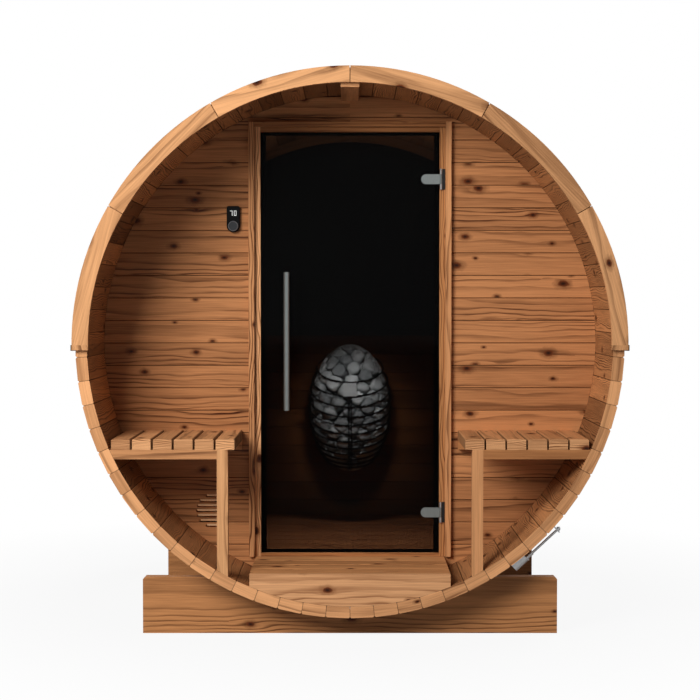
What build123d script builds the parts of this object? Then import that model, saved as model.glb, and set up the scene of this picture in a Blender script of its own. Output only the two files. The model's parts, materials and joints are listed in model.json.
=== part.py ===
"""Barrel sauna: a stave barrel on three cradles, with a porch, a glass door and a stone heater.

Millimetres. +Z is up, the front faces -Y, and the origin is on the ground under the middle.
"""

import os
from math import atan, cos, degrees, hypot, pi, radians, sin, sqrt, tan

from build123d import *

os.makedirs("parts", exist_ok=True)

# Barrel
stave_count = 70
staves_per_group = 10
stave_length = 2100
stave_thickness = 44
stave_gap = 0.4
stave_outer_chamfer = 5
stave_inner_chamfer = 2.5
inner_radius = 1004
seat_gap = 0.3
bar_sides = 12

# Cradles
cradle_length = 1625
cradle_height = 222
cradle_web = 86
cradle_thickness = 45
cradle_inset = 163
cradle_corner = 10

# Hoops and their screw tensioners
hoop_width = 32
hoop_thickness = 1.2
hoop_inset = 120
middle_hoop_shift = 90
tensioner_angle = -47
tensioner_span = 194
rod_diameter = 10
rod_offset = 34
rod_overhang = 4
sleeve_diameter = 22
sleeve_length = 62
washer_diameter = 28
washer_thickness = 3
collar_diameter = 15
collar_length = 31
ear_thickness = 5
ear_width = 24
nut_size = 17
nut_sides = 6
nut_height = 8

# Roof
roof_thickness = 6
roof_edge_drop = 22
edge_strip_width = 10
fascia_width = 62
fascia_reveal = 6
fascia_thickness = 20
fascia_drop = 19
fascia_pieces = 6
fascia_gap = 3

# Front wall and vent
porch_depth = 440
wall_thickness = 44
vent_offset = 565
vent_drop = 690
vent_radius = 67
vent_pitch = 20.4
vent_slot_height = 8
vent_slots = 7

# Door frame
opening_width = 730
opening_head_drop = 149
sill_height = 14
jamb_width = 24
head_height = 20
frame_proud = 2
casing_width = 24
casing_head_height = 21
casing_thickness = 22
stop_width = 20
stop_depth = 24
seal_side_width = 22
seal_end_width = 13
seal_thickness = 6

# Door
glass_thickness = 8
glass_margin = 5
glass_proud = 1
hinge_rise = 663
hinge_drop = 698
hinge_height = 84
hinge_middle_height = 40
hinge_reach = 5
hinge_standoff = 7.5
knuckle_diameter = 10
knuckle_gap = 0.5
pin_diameter = 6
pin_clearance = 0.05
leaf_width = 12
leaf_thickness = 2
tongue_length = 80
tongue_thickness = 8.5
clamp_length = 48
clamp_thickness = 8
clamp_inset = 32
handle_offset = 257
handle_length = 561
handle_diameter = 24
handle_sides = 20
handle_standoff = 38
handle_rise = 3.5
handle_post_diameter = 14
handle_post_inset = 70
handle_cap_diameter = 26
handle_cap_thickness = 6

# Wall controller
control_offset = 475
control_bottom = 447
control_width = 54
control_height = 107
control_depth = 18
control_corner = 9
control_edge = 2
dial_diameter = 41
dial_sides = 36
dial_depth = 11
dial_edge = 2
dial_rise = 25
dial_gap = 0.5
dial_shaft_diameter = 8
dial_shaft_length = 10

# Porch floor and benches
deck_rise = 124
deck_half_width = 386
deck_thickness = 28
riser_thickness = 28
bearer_thickness = 45
slat_count = 6
slat_width = 73
slat_gap = 7
slat_thickness = 40
slat_edge = 3
bench_drop = 361
bench_side_gap = 6.4
bench_rail_height = 36
bench_rail_thickness = 40
leg_size = 42
leg_inset = 27
batten_width = 71
batten_drop = 23

# Cabin
rear_wall_inset = 150
rear_sill_drop = 9
window_rim = 44
window_lip = 10
window_glass_thickness = 8
window_glass_depth = 18
floor_rise = 94
floor_thickness = 24

# Heater
heater_width = 405
heater_height = 660
heater_drop = 345
heater_wall_gap = 48
heater_rod = 6
heater_tilt = 22
heater_ribs = 2
hoop_rise_shares = (0.6, 0.41, 0.26, 0.115, -0.016, -0.153, -0.284, -0.4, -0.507, -0.604, -0.7, -0.79)
heater_pole_width = 90
cage_sides = 20
stone_sides = 12
stone_rows = 4
stone_gap = 0.3
bracket_width = 150
bracket_height = 210
bracket_gap = 1.9

# Derived places, measured from the barrel's axis or along it
outer_radius = inner_radius + stave_thickness
half_pitch = pi / stave_count
stave_pitch = 360 / stave_count
front = -stave_length / 2
rear = stave_length / 2
fitted_radius = inner_radius - seat_gap
stave_half_inside = inner_radius * tan(half_pitch) - stave_gap / 2
stave_half_outside = outer_radius * tan(half_pitch) - stave_gap / 2
cradle_seat_radius = hypot(outer_radius, stave_half_outside - stave_outer_chamfer) + seat_gap
axis_height = cradle_web + cradle_seat_radius
hoop_inner = (outer_radius + seat_gap) / cos(half_pitch)
hoop_outer = hoop_inner + hoop_thickness / cos(half_pitch)
roof_radius = hoop_outer + seat_gap
roof_outer_radius = roof_radius + roof_thickness
wall_front = front + porch_depth
wall_back = wall_front + wall_thickness
rear_wall_front = rear - rear_wall_inset
rear_wall_back = rear_wall_front + wall_thickness
frame_front = wall_front - frame_proud
deck_top = deck_rise - inner_radius
opening_half = opening_width / 2
opening_top = inner_radius - opening_head_drop
opening_bottom = -deck_top - sill_height
frame_half = opening_half + jamb_width
frame_top = opening_top + head_height
hinge_x = opening_half + hinge_reach
hinge_y = frame_front - hinge_standoff
glass_front = frame_front - glass_proud
glass_back = glass_front + glass_thickness


def across(y):
    """Plane across the barrel at depth y: origin on the axis, facing the front."""
    return Plane(origin=(0, y, axis_height), x_dir=(1, 0, 0), z_dir=(0, -1, 0))


def level(z):
    """Level plane at height z above the barrel's axis."""
    return Plane.XY.offset(axis_height + z)


def save(piece, name):
    """Labels a finished piece and writes its file."""
    piece.label = name
    export_step(piece, f"parts/{name}.step")


def chord_half(radius, height):
    """Half the width of a circle at a height above or below its centre."""
    return sqrt(radius**2 - height**2)


# Staves: tapered boards with eased corners, laid round the barrel in groups
with BuildSketch() as stave_section:
    with BuildLine():
        Polyline(
            (0, -stave_half_inside),
            (stave_thickness, -stave_half_outside),
            (stave_thickness, stave_half_outside),
            (0, stave_half_inside),
            close=True,
        )
    make_face()
    chamfer(stave_section.vertices().group_by(Axis.X)[-1], stave_outer_chamfer)
    chamfer(stave_section.vertices().group_by(Axis.X)[0], stave_inner_chamfer)

group_names = (
    "staves_bottom",
    "staves_lower_right",
    "staves_right",
    "staves_top_right",
    "staves_top_left",
    "staves_left",
    "staves_lower_left",
)
group_turn = staves_per_group * stave_pitch
first_stave = -90 - (staves_per_group - 1) * stave_pitch / 2
for index, group_name in enumerate(group_names):
    with BuildPart() as staves:
        with BuildSketch(across(front)):
            with PolarLocations(inner_radius, staves_per_group, first_stave + index * group_turn, group_turn):
                add(stave_section.sketch)
        extrude(amount=-stave_length)
    save(staves.part, group_name)

# Cradles: boards on edge with a seat cut to the barrel
cradle_places = {"cradle_front": front + cradle_inset, "cradle_middle": 0, "cradle_rear": rear - cradle_inset}
cradle_centre = cradle_height / 2 - axis_height
for cradle_name, place in cradle_places.items():
    with BuildPart() as cradle:
        with BuildSketch(across(place - cradle_thickness / 2)) as board:
            with Locations((0, cradle_centre)):
                Rectangle(cradle_length, cradle_height)
            chamfer(board.vertices().group_by(Axis.Y)[-1], cradle_corner)
            Circle(cradle_seat_radius, mode=Mode.SUBTRACT)
        extrude(amount=-cradle_thickness)
    save(cradle.part, cradle_name)

# Hoops: steel bands bent over the staves, each drawn tight by a rod through a sleeve and an ear
rod_radius_from_axis = outer_radius + rod_offset
ear_height = rod_radius_from_axis + ear_width / 2 - inner_radius
sleeve_centre = -tensioner_span / 2
ear_centre = tensioner_span / 2
strap_gap_half = tensioner_span / 2 - sleeve_length / 4
sleeve_end = sleeve_centre + sleeve_length / 2
rod_end = ear_centre + ear_thickness / 2 + nut_height + rod_overhang
first_corner = -90 - tensioner_angle
hoop_places = {
    "hoop_front": front + hoop_inset,
    "hoop_middle": middle_hoop_shift,
    "hoop_rear": rear - hoop_inset,
}


def tensioner_plane(y):
    """Plane across the barrel whose X runs out through the tensioner and Y along its rod."""
    turn = radians(tensioner_angle)
    return Plane(
        origin=(0, y, axis_height), x_dir=(cos(turn), 0, sin(turn)), z_dir=(0, -1, 0)
    )


def rod_plane(y, along):
    """Plane square to the tension rod, its origin on the rod."""
    turn = radians(tensioner_angle)
    out = Vector(cos(turn), 0, sin(turn))
    run = Vector(-sin(turn), 0, cos(turn))
    centre = Vector(0, y, axis_height) + out * rod_radius_from_axis + run * along
    return Plane(origin=centre, x_dir=out, z_dir=run)


for hoop_name, depth in hoop_places.items():
    with BuildPart() as hoop:
        with BuildSketch(tensioner_plane(depth - hoop_width / 2)):
            RegularPolygon(hoop_outer, stave_count, rotation=first_corner)
            RegularPolygon(hoop_inner, stave_count, rotation=first_corner, mode=Mode.SUBTRACT)
            with Locations((outer_radius, 0)):
                Rectangle(stave_thickness, 2 * strap_gap_half, mode=Mode.SUBTRACT)
        extrude(amount=-hoop_width)
        with BuildSketch(tensioner_plane(depth - ear_width / 2)):
            with Locations((inner_radius, ear_centre)):
                Rectangle(ear_height, ear_thickness, align=(Align.MIN, Align.CENTER))
            with Locations((inner_radius, sleeve_centre)):
                Rectangle(rod_radius_from_axis - inner_radius, sleeve_length, align=(Align.MIN, Align.CENTER))
            RegularPolygon(hoop_inner, stave_count, rotation=first_corner, mode=Mode.SUBTRACT)
        extrude(amount=-ear_width)
        for start, diameter, length in (
            (sleeve_centre - sleeve_length / 2, sleeve_diameter, sleeve_length),
            (sleeve_end, washer_diameter, washer_thickness),
            (sleeve_end, collar_diameter, collar_length),
            (sleeve_end, rod_diameter, rod_end - sleeve_end),
        ):
            with BuildSketch(rod_plane(depth, start)):
                RegularPolygon(diameter / 2, bar_sides)
            extrude(amount=length)
        with BuildSketch(rod_plane(depth, ear_centre + ear_thickness / 2)):
            RegularPolygon(nut_size / 2, nut_sides)
        extrude(amount=nut_height)
    save(hoop.part, hoop_name)

# Roof: felt skin over the upper half, with a strip along each lower edge
with BuildPart() as roof_cover:
    with BuildSketch(across(front)):
        Circle(roof_outer_radius)
        Circle(roof_radius, mode=Mode.SUBTRACT)
        with Locations((0, -roof_edge_drop)):
            Rectangle(
                3 * roof_outer_radius, 2 * roof_outer_radius, align=(Align.CENTER, Align.MAX), mode=Mode.SUBTRACT
            )
    extrude(amount=-stave_length)
save(roof_cover.part, "roof_cover")

strip_inner = roof_outer_radius + seat_gap
with BuildPart() as roof_edge_strips:
    with BuildSketch(across(front)):
        with Locations((strip_inner + edge_strip_width / 2, -roof_edge_drop / 2)):
            Rectangle(edge_strip_width, roof_edge_drop)
        mirror(about=Plane.YZ)
    extrude(amount=-stave_length)
save(roof_edge_strips.part, "roof_edge_strips")

# Fascia: six curved boards over the upper half of each end
fascia_turn = 180 / fascia_pieces
fascia_inner_radius = inner_radius - fascia_reveal
fascia_outer_radius = fascia_inner_radius + fascia_width
fascia_middle = (fascia_outer_radius + fascia_inner_radius) / 2
with BuildSketch() as fascia_section:
    Circle(fascia_outer_radius)
    Circle(fascia_inner_radius, mode=Mode.SUBTRACT)
    with Locations((0, -fascia_drop)):
        Rectangle(
            3 * fascia_outer_radius, 2 * fascia_outer_radius, align=(Align.CENTER, Align.MAX), mode=Mode.SUBTRACT
        )
    seam_count = fascia_pieces - 1
    with PolarLocations(fascia_middle, seam_count, fascia_turn, seam_count * fascia_turn):
        Rectangle(2 * fascia_width, fascia_gap, mode=Mode.SUBTRACT)
for fascia_name, place in {"front_fascia": front - fascia_thickness, "rear_fascia": rear}.items():
    with BuildPart() as fascia:
        with BuildSketch(across(place)):
            add(fascia_section.sketch)
        extrude(amount=-fascia_thickness)
    save(fascia.part, fascia_name)

# Front wall: a round panel with the doorway left out, in four pieces
wall_pieces = {
    "front_wall_left": ((-inner_radius, -inner_radius), (-frame_half, inner_radius)),
    "front_wall_right": ((frame_half, -inner_radius), (inner_radius, inner_radius)),
    "front_wall_over_door": ((-frame_half, frame_top), (frame_half, inner_radius)),
    "front_wall_below_sill": ((-frame_half, -inner_radius), (frame_half, deck_top)),
}
slot_rows = [vent_pitch * (row - (vent_slots - 1) / 2) for row in range(vent_slots)]
for wall_name, (low, high) in wall_pieces.items():
    with BuildPart() as wall:
        with BuildSketch(across(wall_front)):
            Circle(fitted_radius)
            with Locations(low):
                Rectangle(high[0] - low[0], high[1] - low[1], align=Align.MIN, mode=Mode.INTERSECT)
            if wall_name == "front_wall_left":
                for row in slot_rows:
                    with Locations((-vent_offset, row - vent_drop)):
                        Rectangle(2 * chord_half(vent_radius, row), vent_slot_height, mode=Mode.SUBTRACT)
        extrude(amount=-wall_thickness)
    save(wall.part, wall_name)

# Door frame: rebated jambs and head, and a sill
frame_depth = wall_back - frame_front
rebate = frame_depth - stop_depth
seal_low = -opening_bottom + seat_gap
seal_high = opening_top - seat_gap
for jamb_name, side in {"door_jamb_left": -1, "door_jamb_right": 1}.items():
    with BuildPart() as jamb:
        with BuildSketch(level(deck_top)):
            with Locations((side * (opening_half + jamb_width / 2), frame_front)):
                Rectangle(jamb_width, frame_depth, align=(Align.CENTER, Align.MIN))
        extrude(amount=frame_top - deck_top)
        with BuildSketch(level(seal_low)):
            with Locations((side * (opening_half - stop_width / 2), frame_front + rebate)):
                Rectangle(stop_width, stop_depth, align=(Align.CENTER, Align.MIN))
        extrude(amount=seal_high - seal_low)
    save(jamb.part, jamb_name)

side_plane = Plane(origin=(-opening_half + seat_gap, 0, axis_height), x_dir=(0, 1, 0), z_dir=(1, 0, 0))
rail_length = opening_width - 2 * seat_gap
for rail_name, edge, far_edge in (
    ("door_head", opening_top, frame_top),
    ("door_sill", -opening_bottom, deck_top),
):
    with BuildPart() as rail:
        with BuildSketch(side_plane):
            with BuildLine():
                Polyline(
                    (frame_front, edge),
                    (frame_front, far_edge),
                    (wall_back, far_edge),
                    (wall_back, edge),
                    close=True,
                )
            make_face()
        extrude(amount=rail_length)
    save(rail.part, rail_name)

# Casing: strips round the outside of the frame, on the wall boards
casing_foot = deck_top + seat_gap
casing_top = frame_top + casing_head_height
with BuildPart() as door_casing:
    with BuildSketch(across(wall_front - casing_thickness)):
        with Locations((frame_half + seat_gap, casing_foot)):
            Rectangle(casing_width, casing_top - casing_foot, align=Align.MIN)
        mirror(about=Plane.YZ)
        with Locations((0, frame_top + seat_gap)):
            Rectangle(2 * frame_half, casing_head_height - seat_gap, align=(Align.CENTER, Align.MIN))
    extrude(amount=-casing_thickness)
save(door_casing.part, "door_casing")

# Seal: black strips on the front of the door stop
seal_front = frame_front + rebate - seal_thickness - seat_gap
seal_half = opening_half - seat_gap
with BuildPart() as door_seal:
    with BuildSketch(across(seal_front)):
        with Locations((-seal_half, seal_low)):
            Rectangle(2 * seal_half, seal_high - seal_low, align=Align.MIN)
        with Locations((-seal_half + seal_side_width, seal_low + seal_end_width)):
            Rectangle(
                2 * (seal_half - seal_side_width),
                seal_high - seal_low - 2 * seal_end_width,
                align=Align.MIN,
                mode=Mode.SUBTRACT,
            )
    extrude(amount=-seal_thickness)
save(door_seal.part, "door_seal")

# Door: one smoked glass sheet
glass_half = opening_half - glass_margin
glass_low = -opening_bottom + glass_margin
glass_high = opening_top - glass_margin
with BuildPart() as door_glass:
    with BuildSketch(across(glass_front)):
        with Locations((-glass_half, glass_low)):
            Rectangle(2 * glass_half, glass_high - glass_low, align=Align.MIN)
    extrude(amount=-glass_thickness)
save(door_glass.part, "door_glass")

# Handle: a long bar on two posts, with caps inside the glass
bar_y = glass_front - handle_standoff - handle_diameter / 2
post_rise = handle_length / 2 - handle_post_inset
with BuildPart() as door_handle:
    with BuildSketch(level(handle_rise - handle_length / 2)):
        with Locations((-handle_offset, bar_y)):
            RegularPolygon(handle_diameter / 2, handle_sides)
    extrude(amount=handle_length)
    with BuildSketch(across(glass_front)):
        with Locations((-handle_offset, handle_rise - post_rise), (-handle_offset, handle_rise + post_rise)):
            RegularPolygon(handle_post_diameter / 2, bar_sides)
    extrude(amount=glass_front - bar_y)
    with BuildSketch(across(glass_back)):
        with Locations((-handle_offset, handle_rise - post_rise), (-handle_offset, handle_rise + post_rise)):
            RegularPolygon(handle_cap_diameter / 2, bar_sides)
    extrude(amount=-handle_cap_thickness)
save(door_handle.part, "door_handle")

# Hinges: leaves with two knuckles on the jamb, tongues with the middle knuckle and pin on the glass
hinge_heights = (hinge_rise, -hinge_drop)
leaf_front = frame_front - leaf_thickness
knuckle_side = (hinge_height - hinge_middle_height) / 2 - knuckle_gap
with BuildPart() as hinge_leaves:
    for height in hinge_heights:
        with BuildSketch(level(height - hinge_height / 2)):
            with Locations((hinge_x + knuckle_gap, leaf_front)):
                Rectangle(knuckle_diameter / 2 + leaf_width, leaf_thickness, align=Align.MIN)
        extrude(amount=hinge_height)
        for base in (-hinge_height / 2, hinge_middle_height / 2 + knuckle_gap):
            with BuildSketch(level(height + base)):
                with Locations((hinge_x, hinge_y)):
                    RegularPolygon(knuckle_diameter / 2, bar_sides)
                    Rectangle(knuckle_diameter, leaf_front - hinge_y, align=(Align.CENTER, Align.MIN))
                    RegularPolygon(pin_diameter / 2 + pin_clearance, bar_sides, False, mode=Mode.SUBTRACT)
            extrude(amount=knuckle_side)
save(hinge_leaves.part, "hinge_leaves")

tongue_back = glass_front
with BuildPart() as door_hinge_clamps:
    for height in hinge_heights:
        with BuildSketch(level(height - hinge_middle_height / 2)):
            with Locations((hinge_x, hinge_y)):
                RegularPolygon(knuckle_diameter / 2, bar_sides)
        extrude(amount=hinge_middle_height)
        with BuildSketch(level(height - hinge_height / 2)):
            with Locations((hinge_x, hinge_y)):
                RegularPolygon(pin_diameter / 2, bar_sides)
        extrude(amount=hinge_height)
        with BuildSketch(across(tongue_back - tongue_thickness)) as tongue:
            with Locations((hinge_x, height)):
                Rectangle(tongue_length, hinge_middle_height, align=(Align.MAX, Align.CENTER))
            fillet(tongue.vertices().group_by(Axis.X)[0], hinge_middle_height / 2 - seat_gap)
        extrude(amount=-tongue_thickness)
        with BuildSketch(across(glass_back)) as clamp:
            with Locations((hinge_x - clamp_inset, height)):
                Rectangle(clamp_length, hinge_middle_height, align=(Align.MAX, Align.CENTER))
            fillet(clamp.vertices().group_by(Axis.X)[0], hinge_middle_height / 2 - seat_gap)
        extrude(amount=-clamp_thickness)
save(door_hinge_clamps.part, "door_hinge_clamps")

# Wall controller: a housing with a round lower end, and a knob on a short shaft
control_front = wall_front - control_depth
dial_height = control_bottom + dial_rise
shaft_bore = dial_shaft_diameter + 2 * pin_clearance
with BuildPart() as control_housing:
    with BuildSketch(across(control_front)) as outline:
        with Locations((-control_offset, control_bottom)):
            Rectangle(control_width, control_height, align=(Align.CENTER, Align.MIN))
        fillet(outline.vertices().group_by(Axis.Y)[0], control_width / 2 - seat_gap)
        fillet(outline.vertices().group_by(Axis.Y)[-1], control_corner)
    extrude(amount=-control_depth)
    chamfer(control_housing.faces().sort_by(Axis.Y)[0].edges(), control_edge)
    with BuildSketch(across(control_front)):
        with Locations((-control_offset, dial_height)):
            RegularPolygon(shaft_bore / 2, bar_sides, False)
    extrude(amount=-dial_shaft_length - pin_clearance, mode=Mode.SUBTRACT)
save(control_housing.part, "control_housing")

dial_back = control_front - dial_gap
with BuildPart() as control_dial:
    with BuildSketch(across(dial_back)):
        with Locations((-control_offset, dial_height)):
            RegularPolygon(dial_diameter / 2, dial_sides)
    extrude(amount=dial_depth)
    chamfer(control_dial.faces().sort_by(Axis.Y)[0].edges(), dial_edge)
    with BuildSketch(across(dial_back)):
        with Locations((-control_offset, dial_height)):
            RegularPolygon(dial_shaft_diameter / 2, bar_sides)
    extrude(amount=-dial_shaft_length)
save(control_dial.part, "control_dial")

# Porch floor: a riser closing the front, a deck behind it and two bearers under it
with BuildPart() as porch_riser:
    with BuildSketch(across(front)):
        Circle(fitted_radius)
        with Locations((0, deck_top)):
            Rectangle(2 * deck_half_width, inner_radius, align=(Align.CENTER, Align.MAX), mode=Mode.INTERSECT)
    extrude(amount=-riser_thickness)
save(porch_riser.part, "porch_riser")

deck_front = front + riser_thickness
deck_back = wall_front - seat_gap
with BuildPart() as porch_deck:
    with BuildSketch(across(deck_front)):
        with Locations((0, deck_top)):
            Rectangle(2 * deck_half_width, deck_thickness, align=(Align.CENTER, Align.MAX))
    extrude(amount=deck_front - deck_back)
save(porch_deck.part, "porch_deck")

with BuildPart() as porch_bearers:
    for place in (deck_front, deck_back - bearer_thickness):
        with BuildSketch(across(place)):
            Circle(fitted_radius)
            with Locations((0, deck_top - deck_thickness)):
                Rectangle(2 * deck_half_width, inner_radius, align=(Align.CENTER, Align.MAX), mode=Mode.INTERSECT)
        extrude(amount=-bearer_thickness)
save(porch_bearers.part, "porch_bearers")

# Benches: slats on a front rail and a wall ledger, with one leg standing on the staves
bench_top = -bench_drop
bench_under = bench_top - slat_thickness
rail_bottom = bench_under - bench_rail_height
slats_width = slat_count * slat_width + (slat_count - 1) * slat_gap
bench_inner_edge = chord_half(inner_radius, bench_under) - bench_side_gap - slats_width
leg_inner = bench_inner_edge + leg_inset
leg_outer = leg_inner + leg_size
for side_name, side in {"left": -1, "right": 1}.items():
    with BuildPart() as slats:
        for slat in range(slat_count):
            slat_middle = bench_inner_edge + slat_width / 2 + slat * (slat_width + slat_gap)
            with BuildSketch(across(front)) as slat_end:
                with Locations((side * slat_middle, bench_top - slat_thickness / 2)):
                    Rectangle(slat_width, slat_thickness)
                chamfer(slat_end.vertices().group_by(Axis.Y)[-1], slat_edge)
            extrude(amount=front - deck_back)
    save(slats.part, f"bench_{side_name}_slats")

    with BuildPart() as rails:
        for place, start in ((front, leg_outer), (deck_back - bench_rail_thickness, bench_inner_edge)):
            with BuildSketch(across(place)):
                Circle(fitted_radius)
                with Locations((side * (start + inner_radius) / 2, rail_bottom)):
                    Rectangle(
                        inner_radius - start,
                        bench_rail_height,
                        align=(Align.CENTER, Align.MIN),
                        mode=Mode.INTERSECT,
                    )
            extrude(amount=-bench_rail_thickness)
    save(rails.part, f"bench_{side_name}_rails")

    with BuildPart() as leg:
        with BuildSketch(across(front)):
            Circle(fitted_radius)
            with Locations((side * (leg_inner + leg_outer) / 2, bench_under)):
                Rectangle(leg_size, inner_radius, align=(Align.CENTER, Align.MAX), mode=Mode.INTERSECT)
        extrude(amount=-leg_size)
    save(leg.part, f"bench_{side_name}_leg")

# Ceiling battens: one in the porch and one in the cabin, under the top staves
cabin_start = wall_back + seat_gap
cabin_end = rear_wall_front - seat_gap
for batten_name, start, end in (
    ("porch_ceiling_batten", front, deck_back),
    ("cabin_ceiling_batten", cabin_start, cabin_end),
):
    with BuildPart() as batten:
        with BuildSketch(across(start)):
            Circle(fitted_radius)
            with Locations((0, inner_radius - batten_drop)):
                Rectangle(batten_width, inner_radius, align=(Align.CENTER, Align.MIN), mode=Mode.INTERSECT)
        extrude(amount=start - end)
    save(batten.part, batten_name)

# Cabin floor: a level slab whose edges follow the staves
with BuildPart() as cabin_floor:
    with BuildSketch(across(cabin_start)):
        Circle(fitted_radius)
        with Locations((0, floor_rise - inner_radius)):
            Rectangle(2 * inner_radius, floor_thickness, align=(Align.CENTER, Align.MAX), mode=Mode.INTERSECT)
    extrude(amount=cabin_start - cabin_end)
save(cabin_floor.part, "cabin_floor")

# Rear wall: boards below the axis, and a half-moon window in an arched rim above
window_sill = -rear_sill_drop
with BuildPart() as rear_wall:
    with BuildSketch(across(rear_wall_front)):
        Circle(fitted_radius)
        with Locations((0, window_sill)):
            Rectangle(2 * inner_radius, inner_radius, align=(Align.CENTER, Align.MAX), mode=Mode.INTERSECT)
    extrude(amount=-wall_thickness)
save(rear_wall.part, "rear_wall")

window_radius = inner_radius - window_rim
glass_seat = rear_wall_front + window_glass_depth
lip_front = glass_seat + window_glass_thickness + seat_gap
arch_foot = window_sill + seat_gap
arch_middle = (fitted_radius + window_radius) / 2
with BuildPart() as rear_window_arch:
    for place, inside in ((rear_wall_front, window_radius), (lip_front, window_radius - window_lip)):
        with BuildSketch(across(place)):
            Circle(fitted_radius)
            Circle(inside, mode=Mode.SUBTRACT)
            with Locations((0, arch_foot)):
                Rectangle(
                    3 * inner_radius, 2 * inner_radius, align=(Align.CENTER, Align.MAX), mode=Mode.SUBTRACT
                )
            with PolarLocations(arch_middle, seam_count, fascia_turn, seam_count * fascia_turn):
                Rectangle(2 * (inner_radius - inside), seat_gap, mode=Mode.SUBTRACT)
        extrude(amount=place - rear_wall_back)
save(rear_window_arch.part, "rear_window_arch")

bead_half = chord_half(window_radius - window_lip - seat_gap, window_sill + window_lip)
with BuildPart() as rear_window_bead:
    with BuildSketch(across(lip_front)):
        with Locations((0, window_sill)):
            Rectangle(2 * bead_half, window_lip, align=(Align.CENTER, Align.MIN))
    extrude(amount=lip_front - rear_wall_back)
save(rear_window_bead.part, "rear_window_bead")

with BuildPart() as rear_window_glass:
    with BuildSketch(across(glass_seat)):
        Circle(window_radius - seat_gap)
        with Locations((0, arch_foot)):
            Rectangle(
                2 * inner_radius, inner_radius, align=(Align.CENTER, Align.MIN), mode=Mode.INTERSECT
            )
    extrude(amount=-window_glass_thickness)
save(rear_window_glass.part, "rear_window_glass")

# Heater: a round cage of tilted hoops and upright ribs, filled with stones, on a wall bracket
heater_radius = heater_width / 2
heater_y = rear_wall_front - heater_wall_gap - heater_radius
heater_centre = axis_height - heater_drop
heater_plane = Plane(
    origin=(0, heater_y, heater_centre), x_dir=(1, 0, 0), z_dir=(0, -1, 0)
)


def ring(across_half, along_half):
    """Corners of a many-sided ring that follows an ellipse."""
    turns = [2 * pi * corner / cage_sides for corner in range(cage_sides)]
    return [(across_half * cos(turn), along_half * sin(turn)) for turn in turns]


heater_rise = heater_height / 2
rib_inset = heater_rod / 2
rib_inner_radius = heater_radius - rib_inset - heater_rod
rib_inner_rise = heater_rise - rib_inset - heater_rod
stone_radius = rib_inner_radius - stone_gap
stone_rise = rib_inner_rise - stone_gap
with BuildPart() as heater_stones:
    for row in range(stone_rows):
        low = 2 * pi * row / cage_sides
        high = 2 * pi * (row + 1) / cage_sides
        row_height = stone_rise * (sin(high) - sin(low))
        lean = stone_radius * (cos(low) - cos(high)) * cos(pi / stone_sides)
        with BuildSketch(Plane((0, heater_y, heater_centre + stone_rise * sin(low)))):
            RegularPolygon(stone_radius * cos(low), stone_sides)
        extrude(amount=row_height, taper=degrees(atan(lean / row_height)))
    mirror(about=Plane((0, heater_y, heater_centre)))
save(heater_stones.part, "heater_stones")

tilt_cos = cos(radians(heater_tilt))
tilt_sin = sin(radians(heater_tilt))
slope = (tilt_cos / heater_radius) ** 2 + (tilt_sin / heater_rise) ** 2
with BuildPart() as heater_cage:
    for share in hoop_rise_shares:
        rise = share * heater_rise
        shift = -rise * tilt_sin / heater_rise**2 / slope
        reach = sqrt(1 - (rise / heater_rise) ** 2 + slope * shift**2)
        across_half = heater_radius * reach
        along_half = reach / sqrt(slope)
        tilted = Plane(
            origin=(0, heater_y, heater_centre + rise),
            x_dir=(1, 0, 0),
            z_dir=(0, -tilt_sin, tilt_cos),
        )
        with BuildSketch(tilted):
            with Locations((0, shift)):
                Polygon(*ring(across_half, along_half))
                Polygon(*ring(across_half - heater_rod, along_half - heater_rod), mode=Mode.SUBTRACT)
        extrude(amount=heater_rod / 2, both=True)
    for rib in range(heater_ribs // 2):
        turn = pi * (rib + 1 / 2) / (heater_ribs // 2)
        upright = Plane(
            origin=heater_plane.origin,
            x_dir=(cos(turn), sin(turn), 0),
            z_dir=(sin(turn), -cos(turn), 0),
        )
        with BuildSketch(upright):
            Polygon(*ring(heater_radius - rib_inset, heater_rise - rib_inset))
            Polygon(*ring(rib_inner_radius, rib_inner_rise), mode=Mode.SUBTRACT)
            Rectangle(heater_pole_width, heater_height, mode=Mode.SUBTRACT)
        extrude(amount=heater_rod / 2, both=True)
save(heater_cage.part, "heater_cage")

bracket_front = heater_y + heater_radius + bracket_gap
with BuildPart() as heater_bracket:
    with BuildSketch(Plane(heater_plane.origin + Vector(0, bracket_front - heater_y, 0), z_dir=(0, -1, 0))):
        Rectangle(bracket_width, bracket_height)
    extrude(amount=bracket_front - cabin_end)
save(heater_bracket.part, "heater_bracket")
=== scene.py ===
"""Looks of the barrel sauna: boards, roof shingles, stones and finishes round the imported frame."""

import json
import math
import random

import bmesh
import bpy
from mathutils import Matrix, Vector, noise


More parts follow.
